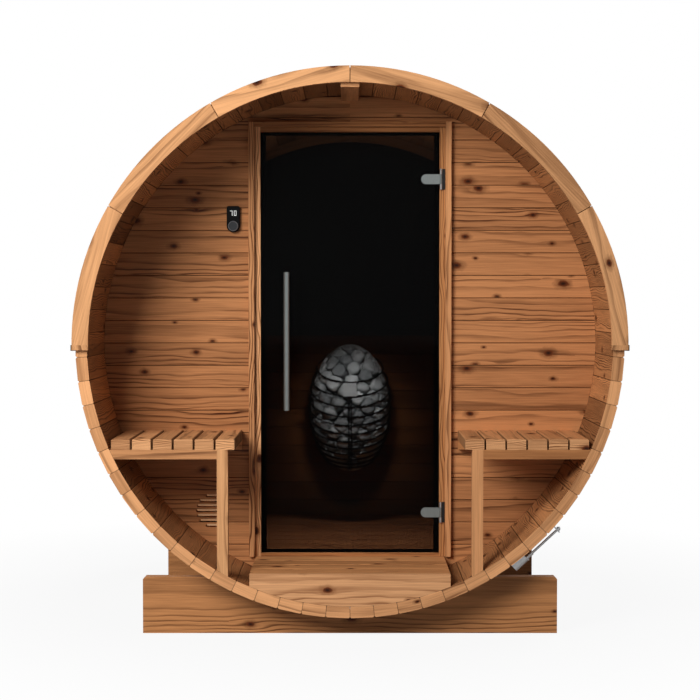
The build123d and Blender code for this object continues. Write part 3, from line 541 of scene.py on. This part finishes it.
# A paler copy of the upright pine for the left jamb: painted light, lifting it out of its shade.
upright_pine_painted_light = pine("oiled_pine_upright_painted_light", "upright", *LONE_UPRIGHT, "F6B883", "7A4826",
                    knots=0.5, seed=2.9)
dress(upright_pine_painted_light, "door_jamb_left")
dress(upright_pine, "door_jamb_right")
dress(level_pine, "door_head", "door_sill")
casing_outer, casing_front, casing_foot = casing_high[0], casing_low[1], casing_low[2]
casing_inner, casing_top = FRAME_HALF + CASING_GAP, casing_high[2] - CASING_GAP
head_foot = AXIS + FRAME_TOP + CASING_GAP
box_piece("door_casing_sides",
          [((-casing_outer, casing_front, casing_foot), (-casing_inner, WALL_FRONT, casing_top)),
           ((casing_inner, casing_front, casing_foot), (casing_outer, WALL_FRONT, casing_top))],
          CASING_EASE, casing_pine_painted_light, "sauna", "heat_treated_wood", "door_casing")
box_piece("door_casing_head",
          [((-FRAME_HALF, casing_front, head_foot), (FRAME_HALF, WALL_FRONT, casing_top))],
          CASING_EASE, level_pine, "sauna", "heat_treated_wood")
rubber, tree, shader = blank("black_rubber_seal")
place = add(tree, "TexCoord")["Object"]
bloom = add(tree, "TexNoise", {"Vector": place, "Scale": BLOOM, "Detail": 3.0})[0]
tree.links.new(add(tree, "MixRGB", (bloom, tone("070707"), tone("101010")))[0], shader.inputs["Base Color"])
shader.inputs["Roughness"].default_value = 0.7
shader.inputs["Specular IOR Level"].default_value = 0.1
dress(rubber, "door_seal")

# Door and rear glass
# Toughened sheets of grey-tinted glass, polished: nearly black from outside, with the cabin dim behind. The
# door's sheet hangs in its hinge clamps, and the half-moon sheet stands in the rim of the rear wall.
ROLLING = 3.0            # waves to the metre that the rollers leave
for name, body_tint, shine, see_through, node in (
        ("smoked_toughened_glass", "040404", 0.03, 0.3, "door_glass"),
        ("deep_smoked_glass", "050505", 0.1, 0.06, "rear_window_glass")):
    smoked, tree, shader = blank(name)
    place = add(tree, "TexCoord")["Object"]
    roll = add(tree, "TexNoise", {"Vector": place, "Scale": ROLLING, "Detail": 1.0})[0]
    tree.links.new(add(tree, "MapRange", (roll, 0.0, 1.0, 0.02, 0.05))[0], shader.inputs["Roughness"])
    shader.inputs["Base Color"].default_value = tone(body_tint)
    shader.inputs["Specular IOR Level"].default_value = shine
    shader.inputs["Alpha"].default_value = 1 - see_through
    dress(smoked, node)

# Handle and hinges
# A round bar on two posts, and glass hinges with a rounded tongue, of satin stainless steel. Brushing along
# the piece spreads its highlights. The leaves screwed to the jamb are steel with a bright edge at the door;
# the rest of each leaf is painted near black as shade in its recess.
BRUSHING = (9 / 0.010, 9 / 0.010, 3 / 0.100)   # nine strokes to 10 mm; real ones are finer and would not show
BRIGHT_WIDTH = 0.0105
satin, tree, shader = blank("satin_stainless_steel")
place = add(tree, "TexCoord")["Object"]
brush = add(tree, "VectorMath", (place, BRUSHING), operation="MULTIPLY")[0]
brush = add(tree, "TexNoise", {"Vector": brush, "Scale": 1.0})[0]
tree.links.new(add(tree, "MapRange", (brush, 0.0, 1.0, 0.3, 0.42))[0], shader.inputs["Roughness"])
tree.links.new(add(tree, "MixRGB", (brush, tone("7C8281"), tone("9CA3A1")))[0], shader.inputs["Base Color"])
shader.inputs["Metallic"].default_value = 0.8
dress(satin, "door_handle", "door_hinge_clamps")
leaf_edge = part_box("hinge_leaves")[0][0] + BRIGHT_WIDTH
leaf_steel, tree, shader = blank("steel_leaf_with_painted_shade")
x = add(tree, "SeparateXYZ", (add(tree, "TexCoord")["Object"],))[0]
# Left of this edge the leaf is bright steel; right of it the near black is painted shade.
bright = add(tree, "Math", (x, leaf_edge), operation="LESS_THAN")[0]
tree.links.new(add(tree, "MixRGB", (bright, tone("0C0C0D"), tone("CDCFD1")))[0], shader.inputs["Base Color"])
tree.links.new(bright, shader.inputs["Metallic"])
shader.inputs["Roughness"].default_value = 0.4
dress(leaf_steel, "hinge_leaves")

# Wall controller
# A black ABS housing screwed to the wall, with two lit digits and a knob below that turns. Moulding leaves
# the housing finely matt; the knob's grey face is spun in rings, with a paler rim.
dial_joint = next(joint for joint in frame["joints"] if joint["name"] == "dial")
CONTROL_X, CONTROL_FACE, DIAL_Z = dial_joint["pos_m"]
DIGIT_BASE, DIGIT_HEIGHT, DIGIT_WIDTH, STROKE = DIAL_Z + 0.042, 0.021, 0.0105, 0.0026
DIGIT_SPREAD, DIGIT_PROUD, DIGIT_SUNK, DIGIT_EASE = 0.008, 0.0006, 0.0004, 0.0003
SPARK = 15 / 0.010                     # fifteen pits to 10 mm
SPIN = 9000.0                          # radians to the metre, so rings are 0.7 mm apart
RIM_START, RIM_FULL = 0.0165, 0.0195
housing, tree, shader = blank("black_moulded_abs")
place = add(tree, "TexCoord")["Object"]
spark = add(tree, "TexNoise", {"Vector": place, "Scale": SPARK, "Detail": 1.0})[0]
tree.links.new(add(tree, "MapRange", (spark, 0.0, 1.0, 0.35, 0.45))[0], shader.inputs["Roughness"])
tree.links.new(add(tree, "MixRGB", (spark, tone("060606"), tone("0D0D0E")))[0], shader.inputs["Base Color"])
shader.inputs["Specular IOR Level"].default_value = 0.12
dress(housing, "control_housing")
knob, tree, shader = blank("grey_spun_knob")
x, _, z = add(tree, "SeparateXYZ", (add(tree, "TexCoord")["Object"],))
from_centre = add(tree, "CombineXYZ", (add(tree, "Math", (x, CONTROL_X), operation="SUBTRACT")[0],
                                       add(tree, "Math", (z, DIAL_Z), operation="SUBTRACT")[0]))[0]
from_centre = add(tree, "VectorMath", (from_centre,), operation="LENGTH")["Value"]
spun = add(tree, "Math", (from_centre, SPIN), operation="MULTIPLY")[0]
spun = add(tree, "Math", (spun,), operation="SINE")[0]
tree.links.new(add(tree, "MapRange", (spun, -1.0, 1.0, 0.35, 0.5))[0], shader.inputs["Roughness"])
rim = add(tree, "MapRange", (from_centre, RIM_START, RIM_FULL, 0.0, 1.0))[0]
tree.links.new(add(tree, "MixRGB", (rim, tone("303235"), tone("77797C")))[0], shader.inputs["Base Color"])
shader.inputs["Metallic"].default_value = 0.2
dress(knob, "control_dial")
lit, tree, shader = blank("lit_display_digit")
shader.inputs["Base Color"].default_value = tone("D8DAD8")
shader.inputs["Emission Color"].default_value = tone("D8DAD8")
shader.inputs["Emission Strength"].default_value = 0.5
strokes = []
digit_front, digit_back = CONTROL_FACE - DIGIT_PROUD, CONTROL_FACE + DIGIT_SUNK
foot, waist, top = DIGIT_BASE, DIGIT_BASE + DIGIT_HEIGHT / 2, DIGIT_BASE + DIGIT_HEIGHT
for middle, lit_bars in ((CONTROL_X - DIGIT_SPREAD, "abc"), (CONTROL_X + DIGIT_SPREAD, "abcdef")):
    left, right = middle - DIGIT_WIDTH / 2, middle + DIGIT_WIDTH / 2
    bars = {"a": (left, top - STROKE, right, top), "b": (right - STROKE, waist, right, top),
            "c": (right - STROKE, foot, right, waist), "d": (left, foot, right, foot + STROKE),
            "e": (left, foot, left + STROKE, waist), "f": (left, waist, left + STROKE, top)}
    for bar in lit_bars:
        x_low, z_low, x_high, z_high = bars[bar]
        strokes.append(((x_low, digit_front, z_low), (x_high, digit_back, z_high)))
box_piece("control_digits", strokes, DIGIT_EASE, lit, "sauna", "black_plastic")

# Porch floor
# A pale pine riser closing the front of the porch, and behind it level deck boards on bearers, with narrow
# gaps between them and eased edges.
deck_low, deck_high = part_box("porch_deck")
DECK_HALF, DECK_FRONT, DECK_BACK = deck_high[0], deck_low[1], deck_high[1]
DECK_BOARDS, DECK_GAP, DECK_THICK = 4, 0.004, deck_high[2] - deck_low[2]
RISER_BOARD, RISER_FOOT = 0.3, AXIS - 1.05
FLOOR_EASE = 0.003


def floor_board(points, faces, front, back, top_half, bottom_half, top, thick):
    """One level floor board along X with eased top edges, as wide at its top and bottom as given."""
    base = len(points)
    for side in (-1, 1):
        for y, drop in ((front, thick), (front, FLOOR_EASE), (front + FLOOR_EASE, 0.0),
                        (back - FLOOR_EASE, 0.0), (back, FLOOR_EASE), (back, thick)):
            points.append((side * (top_half + (bottom_half - top_half) * drop / thick), y, AXIS + top - drop))
    tube_faces(faces, base, 2, 6)


riser_pine = pine("oiled_pine_riser", "across", RISER_BOARD, RISER_FOOT, "F2B682", "7E4A28",
                  knots=0.85, seed=6.6)
dress(riser_pine, "porch_riser")
points, faces = [], []
deck_pitch = (DECK_BACK - DECK_FRONT + DECK_GAP) / DECK_BOARDS
for k in range(DECK_BOARDS):
    start = DECK_FRONT + k * deck_pitch
    floor_board(points, faces, start, start + deck_pitch - DECK_GAP, DECK_HALF, DECK_HALF,
                DECK_TOP, DECK_THICK)
deck_pine = pine("oiled_pine_deck", "floor", deck_pitch, DECK_FRONT, "DB9C66", "6E3E20", knots=0.8, seed=1.4)
mesh_piece("porch_deck_boards", points, faces, deck_pine, "sauna", "heat_treated_wood", "porch_deck")
dress(deck_pine, "porch_bearers")

# Benches and battens
# Pine slats side by side from front to back, screwed down to a rail and a ledger on a leg; battens under the
# ceiling run the same way.
BENCH_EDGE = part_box("bench_right_slats")[0][0]
SLAT_PITCH, SLAT_GAP, SLAT_JOINT_SHADE = 0.080, 0.007, 0.006
slat_pine = pine("oiled_pine_slats", "along", SLAT_PITCH, BENCH_EDGE - SLAT_GAP / 2, "DC9F6C", "5A3018",
                 knots=0.6, seam=SLAT_JOINT_SHADE, seed=7.7, ends=("EAAE7A", "6E3C1C"))
dress(slat_pine, "bench_left_slats", "bench_right_slats", "porch_ceiling_batten", "cabin_ceiling_batten")
rail_pine = pine("oiled_pine_bench_rails", "across", *LONE_LEVEL, "DE9E6A", "5A341D", seed=14.3)
dress(rail_pine, "bench_left_rails")
# The right rails take the darker level pine as painted shade under the slats.
dress(level_pine, "bench_right_rails")
leg_pine = pine("oiled_pine_legs", "upright", *LONE_UPRIGHT, "E4AA76", "805030", seed=16.4)
dress(leg_pine, "bench_left_leg")
dress(casing_pine_painted_light, "bench_right_leg")

# Cabin floor and rear wall
# Pine floor boards, and level wall boards up to the sill of the half-moon window, whose rim is sawn from
# curved boards like the fascia. The pine inside is darker; the rear wall's boards are darkest, as painted
# shade of the dim cabin.
floor_low, floor_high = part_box("cabin_floor")
CABIN_START, CABIN_END = floor_low[1], floor_high[1]
FLOOR_TOP, FLOOR_THICK = floor_high[2] - AXIS, floor_high[2] - floor_low[2]
FLOOR_BOARDS, FLOOR_GAP = 12, 0.002
rear_low, rear_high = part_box("rear_wall")
REAR_FRONT, REAR_BACK, SILL = rear_low[1], rear_high[1], rear_high[2] - AXIS
REAR_ROWS = 11
points, faces = [], []
floor_pitch = (CABIN_END - CABIN_START + FLOOR_GAP) / FLOOR_BOARDS
for k in range(FLOOR_BOARDS):
    start = CABIN_START + k * floor_pitch
    floor_board(points, faces, start, start + floor_pitch - FLOOR_GAP, chord(FLOOR_TOP),
                chord(FLOOR_TOP - FLOOR_THICK), FLOOR_TOP, FLOOR_THICK)
floor_pine = pine("oiled_pine_cabin_floor", "floor", floor_pitch, CABIN_START, "B4744A", "5E321C",
                  knots=0.5, seed=9.4)
mesh_piece("cabin_floor_boards", points, faces, floor_pine, "sauna", "heat_treated_wood", "cabin_floor")
points, faces = [], []
for row in range(REAR_ROWS):
    high = SILL - row * BOARD - (JOINT if row else 0.0)
    low = max(SILL - (row + 1) * BOARD + JOINT, -FITTED + 2 * EASE)
    lay_board(points, faces, low, high, lambda h: -chord(h), chord, REAR_FRONT, REAR_BACK)
# The rear wall's pine is painted dark as shade of the dim cabin.
rear_pine_painted_shade = pine("oiled_pine_rear_boards_painted_shade", "across", BOARD, AXIS + SILL, "80502E", "2E170A",
                 knots=0.7, seam=EASE_SHADE, seed=11.9)
mesh_piece("rear_wall_boards", points, faces, rear_pine_painted_shade, "sauna", "heat_treated_wood", "rear_wall")
arch_pine = pine("oiled_pine_window_rim", "arc", FASCIA_PITCH, 0.0, "BE895C", "6A4026", seed=12.6)
dress(arch_pine, "rear_window_arch")
dress(level_pine, "rear_window_bead")

# Heater
# A basket of black steel wire whose hoops tilt to the front, hung on a wall bracket and heaped with split
# stones. A bare square plate is welded to the front, and two wires run down from it. Wires are 8.5 mm thick
# where the real ones are about 6 mm, because thinner ones would not show behind the glass.
stones_low, stones_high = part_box("heater_stones")
HEATER = (Vector(stones_low) + Vector(stones_high)) / 2
CAGE_RADIUS, CAGE_RISE, WIRE = 0.2025, 0.330, 0.0085
RIB_INSET = 1.5 * WIRE
HOOP_SHARES = (0.6, 0.41, 0.26, 0.115, -0.016, -0.153, -0.284, -0.4, -0.507, -0.604, -0.7, -0.79)
TILT = math.radians(22)
HOOP_STEPS, RIB_STEPS, WIRE_SIDES = 72, 40, 8
PAIR_HALF, POLE_HALF = 0.006, 0.045
PLATE, PLATE_THICK, PLATE_RISE, PLATE_EASE = 0.064, 0.003, 0.089, 0.0008
PLATE_BRUSHING = (3 / 0.100, 7 / 0.010, 7 / 0.010)   # seven strokes to 10 mm
SCALING = 1 / 0.040                                  # heat marks on the wire, 40 mm apart


def wire(points, faces, path, closed):
    """A round wire along a path on the basket."""
    base, count = len(points), len(path)
    for k, spot in enumerate(path):
        before = path[k - 1] if closed or k else path[k]
        after = path[(k + 1) % count] if closed or k + 1 < count else path[k]
        ahead = (after - before).normalized()
        side = ahead.cross(spot - HEATER).normalized()
        out = side.cross(ahead)
        for s in range(WIRE_SIDES):
            turn = 2 * math.pi * s / WIRE_SIDES
            points.append(spot + (out * math.cos(turn) + side * math.sin(turn)) * WIRE / 2)
    tube_faces(faces, base, count, WIRE_SIDES, closed)


points, faces = [], []
slope = (math.cos(TILT) / CAGE_RADIUS) ** 2 + (math.sin(TILT) / CAGE_RISE) ** 2
for share in HOOP_SHARES:
    rise = share * CAGE_RISE
    shift = -rise * math.sin(TILT) / CAGE_RISE ** 2 / slope
    reach = math.sqrt(1 - share ** 2 + slope * shift ** 2)
    half_across, half_along = CAGE_RADIUS * reach - WIRE / 2, reach / math.sqrt(slope) - WIRE / 2
    path = []
    for s in range(HOOP_STEPS):
        turn = 2 * math.pi * s / HOOP_STEPS
        along = shift + half_along * math.sin(turn)
        spot = Vector((half_across * math.cos(turn), along * math.cos(TILT), rise + along * math.sin(TILT)))
        path.append(HEATER + spot)
    wire(points, faces, path, True)
rib_reach, rib_rise = CAGE_RADIUS - RIB_INSET, CAGE_RISE - RIB_INSET
low_end = -math.acos(POLE_HALF / rib_reach)
ribs = ((-PAIR_HALF, -1, PLATE_RISE), (PAIR_HALF, -1, PLATE_RISE), (0.0, 1, HOOP_SHARES[0] * CAGE_RISE))
for aside, face_side, top in ribs:
    high_end = math.asin(top / rib_rise)
    turns = [low_end + (high_end - low_end) * s / RIB_STEPS for s in range(RIB_STEPS + 1)]
    wire(points, faces, [HEATER + Vector((aside, face_side * rib_reach * math.cos(a), rib_rise * math.sin(a)))
                         for a in turns], False)
wire_steel, tree, shader = blank("black_heater_wire")
place = add(tree, "TexCoord")["Object"]
heat = add(tree, "TexNoise", {"Vector": place, "Scale": SCALING, "Detail": 3.0})[0]
tree.links.new(add(tree, "MixRGB", (heat, tone("0B0B0C"), tone("1A1B1C")))[0], shader.inputs["Base Color"])
tree.links.new(add(tree, "MapRange", (heat, 0.0, 1.0, 0.45, 0.65))[0], shader.inputs["Roughness"])
shader.inputs["Specular IOR Level"].default_value = 0.2
mesh_piece("heater_wire_cage", points, faces, wire_steel, "sauna", "heater_steel", "heater_cage")
dress(wire_steel, "heater_bracket")

plate_reach = CAGE_RADIUS * math.sqrt(1 - (PLATE_RISE / CAGE_RISE) ** 2)
lean = math.atan2(PLATE_RISE / CAGE_RISE ** 2, plate_reach / CAGE_RADIUS ** 2)
bare_steel, tree, shader = blank("bare_bright_steel")
place = add(tree, "TexCoord")["Object"]
brush = add(tree, "VectorMath", (place, PLATE_BRUSHING), operation="MULTIPLY")[0]
brush = add(tree, "TexNoise", {"Vector": brush, "Scale": 1.0})[0]
tree.links.new(add(tree, "MixRGB", (brush, tone("A6A8A8"), tone("CDCFCF")))[0], shader.inputs["Base Color"])
shader.inputs["Roughness"].default_value = 0.55
shader.inputs["Metallic"].default_value = 0.2
plate = box_piece("heater_plate", [((-PLATE / 2, -PLATE_THICK, -PLATE / 2), (PLATE / 2, 0.0, PLATE / 2))],
                  PLATE_EASE, bare_steel, "sauna", "heater_steel")
plate_seat = Matrix.Translation(HEATER + Vector((0, -plate_reach, PLATE_RISE)))
plate.data.transform(plate_seat @ Matrix.Rotation(-lean, 4, "X"))

# The stones fill the basket, so each takes the room that its neighbours leave it: the planes half way to
# them, rounded off where they meet, with a rough skin. Split olivine is dull and grey, with pale specks.
STONE_RADIUS, STONE_RISE, STONE_TOP = 0.190, 0.3195, 0.300
STONE_LAYERS = ((135, 0.032, 0.014), (45, 0.092, 0.01))   # how many, how far in, how far astray
STONE_LEAST, STONE_MOST, NEIGHBOUR = 0.036, 0.048, 0.16
ROUNDING, SHRINK = 9.0, 0.94
LUMP, LUMP_WAVES, CHIP, CHIP_WAVES, NOISE_SPAN = 0.14, 1.6, 0.07, 4.5, 90
SPECK, SPECK_RELIEF, CLOUD = 26 / 0.100, 0.004, 3 / 0.100   # to 100 mm: 26 specks and three clouds
draw = random.Random(11)
seats = []
for count, inset, stray in STONE_LAYERS:
    for k in range(count):
        height = 1 - 2 * (k + 0.5) / count
        turn = k * math.pi * (3 - math.sqrt(5))
        flat = math.sqrt(1 - height ** 2)
        seats.append(Vector(((STONE_RADIUS - inset) * flat * math.cos(turn) + draw.uniform(-stray, stray),
                             (STONE_RADIUS - inset) * flat * math.sin(turn) + draw.uniform(-stray, stray),
                             (STONE_RISE - inset) * height + draw.uniform(-stray, stray))))
points, faces = [], []
ball = bmesh.new()
bmesh.ops.create_icosphere(ball, subdivisions=3, radius=1.0)
ball_points = [vertex.co.normalized() for vertex in ball.verts]
ball_faces = [tuple(vertex.index for vertex in face.verts) for face in ball.faces]
ball.free()
for seat in seats:
    towards = [other - seat for other in seats if 0 < (other - seat).length < NEIGHBOUR]
    seed = Vector([draw.uniform(0, NOISE_SPAN) for _ in range(3)])
    most = draw.uniform(STONE_LEAST, STONE_MOST)
    base = len(points)
    for ray in ball_points:
        near = most ** -ROUNDING
        for way in towards:
            facing = ray.dot(way)
            if facing > 0:
                near += (2 * facing / way.length_squared) ** ROUNDING
        skin = 1 + LUMP * noise.noise(ray * LUMP_WAVES + seed) + CHIP * noise.noise(ray * CHIP_WAVES + seed)
        point = seat + ray * (SHRINK * near ** (-1 / ROUNDING) * skin)
        limit = STONE_TOP if point.z > 0 else STONE_RISE
        over = math.sqrt((point.x ** 2 + point.y ** 2) / STONE_RADIUS ** 2 + point.z ** 2 / limit ** 2)
        points.append(HEATER + point / max(over, 1.0))
    faces += [tuple(base + index for index in face) for face in ball_faces]
stone, tree, shader = blank("grey_split_olivine")
place = add(tree, "TexCoord")["Object"]
speck = add(tree, "TexNoise", {"Vector": place, "Scale": SPECK, "Detail": 4.0, "Roughness": 0.7})[0]
cloud = add(tree, "TexNoise", {"Vector": place, "Scale": CLOUD, "Detail": 3.0})[0]
own = add(tree, "NewGeometry")["Random Per Island"]
mixed = add(tree, "Math", (own, 0.4, speck), operation="MULTIPLY_ADD")[0]
mixed = add(tree, "Math", (cloud, 0.4, mixed), operation="MULTIPLY_ADD")[0]
mixed = add(tree, "MapRange", (mixed, 0.6, 1.2, 0.0, 1.0))[0]
tree.links.new(add(tree, "MixRGB", (mixed, tone("64696B"), tone("DEE2E2")))[0], shader.inputs["Base Color"])
bump = add(tree, "Bump", {"Strength": 0.8, "Distance": SPECK_RELIEF, "Height": speck})[0]
tree.links.new(bump, shader.inputs["Normal"])
shader.inputs["Roughness"].default_value = 0.85
stones = mesh_piece("heater_stone_fill", points, faces, stone, "sauna", "heater_stone", "heater_stones")
stones.data.polygons.foreach_set("use_smooth", [True] * len(stones.data.polygons))

# Studio
# A white floor and backdrop, a large soft lamp to the upper left in front, another behind, small lamps
# in the cabin, and a spot inside over the door that picks out the heater behind the glass.
CAMERA_AWAY, CAMERA_HEIGHT, CAMERA_DIP = 7.23, 1.315, 1.84   # metres, metres and degrees
AMBIENT, AMBIENT_WARMTH = 0.05, tone("FFDFCF")
WHITE, FLOOR_GREY = tone("FFFFFF"), tone("AAAAAA")
FLOOR_REACH = 40
SHADOW_NEAR, SHADOW_FAR, SHADOW_GLOW = 1.2, 2.6, 0.92        # the floor's glow is less this near the barrel
camera = bpy.data.objects.new("camera", bpy.data.cameras.new("camera"))
camera.data.lens, camera.data.sensor_width = 83.3, 36.0
camera.location = (0.0, -CAMERA_AWAY, CAMERA_HEIGHT)
camera.rotation_euler = (math.radians(90 - CAMERA_DIP), 0.0, 0.0)
bpy.context.collection.objects.link(camera)
bpy.context.scene.camera = camera
bpy.context.scene.view_settings.view_transform = "Standard"


def lamp(name, kind, spot, aim, power, **settings):
    """A lamp at a spot, turned to a point, that does not mirror in polished faces."""
    light = bpy.data.lights.new(name, kind)
    light.energy = power
    for setting, value in settings.items():
        setattr(light, setting, value)
    piece = bpy.data.objects.new(name, light)
    piece.location = spot
    piece.rotation_euler = (Vector(aim) - Vector(spot)).to_track_quat("-Z", "Y").to_euler()
    piece.visible_glossy = False
    bpy.context.collection.objects.link(piece)


lamp("key_lamp", "AREA", (-2.7, -5.0, 3.5), (0.1, -0.8, 1.0), 325.0, size=2.5)
lamp("rear_lamp", "AREA", (2.8, 5.4, 3.6), (0.0, 0.6, 1.0), 260.0, size=2.5)
lamp("heater_spot", "SPOT", (0.0, -0.5, 1.3), (0.0, 0.56, 0.82), 170.0,
     spot_size=math.radians(30), spot_blend=1.0, shadow_soft_size=0.12)
lamp("cabin_lamp", "AREA", (0.0, -0.1, 1.95), (0.0, -0.1, 0.2), 9.0, size=0.3, spread=math.radians(70))
lamp("ceiling_lamp", "AREA", (0.0, 0.2, 1.6), (0.0, 0.2, 2.2), 3.5, size=0.3)

# The camera, metal and glass see a white room; other light from it is weak, and warm as if off more timber.
world = bpy.data.worlds.new("studio")
bpy.context.scene.world = world
world.use_nodes = True
tree = world.node_tree
rays = add(tree, "LightPath")
seen = add(tree, "Math", (rays["Is Camera Ray"], rays["Is Glossy Ray"]), operation="MAXIMUM")[0]
seen = add(tree, "Math", (seen, rays["Is Transmission Ray"]), operation="MAXIMUM")[0]
strength = add(tree, "MapRange", (seen, 0.0, 1.0, AMBIENT, 1.0))[0]
tree.links.new(strength, tree.nodes["Background"].inputs["Strength"])
warm = add(tree, "MixRGB", (seen, AMBIENT_WARMTH, WHITE))[0]
tree.links.new(warm, tree.nodes["Background"].inputs["Color"])
floor_mesh = bpy.data.meshes.new("studio_floor")
floor_corners = [(-FLOOR_REACH, -FLOOR_REACH, 0), (FLOOR_REACH, -FLOOR_REACH, 0),
                 (FLOOR_REACH, FLOOR_REACH, 0), (-FLOOR_REACH, FLOOR_REACH, 0)]
floor_mesh.from_pydata(floor_corners, [], [(0, 1, 2, 3)])
studio_floor = bpy.data.objects.new("studio_floor", floor_mesh)
bpy.context.collection.objects.link(studio_floor)
white, tree, shader = blank("white_studio_floor")
shader.inputs["Base Color"].default_value = FLOOR_GREY
shader.inputs["Roughness"].default_value = 0.9
glow = add(tree, "Emission", (WHITE, 1.0))[0]
far = add(tree, "VectorMath", (add(tree, "TexCoord")["Object"],), operation="LENGTH")["Value"]
far = add(tree, "MapRange", (far, SHADOW_NEAR, SHADOW_FAR, SHADOW_GLOW, 1.0))[0]
seen = add(tree, "Math", (add(tree, "LightPath")["Is Camera Ray"], far), operation="MULTIPLY")[0]
floor_look = add(tree, "MixShader", (seen, shader.outputs[0], glow))[0]
tree.links.new(floor_look, tree.nodes["Material Output"].inputs["Surface"])
floor_mesh.materials.append(white)
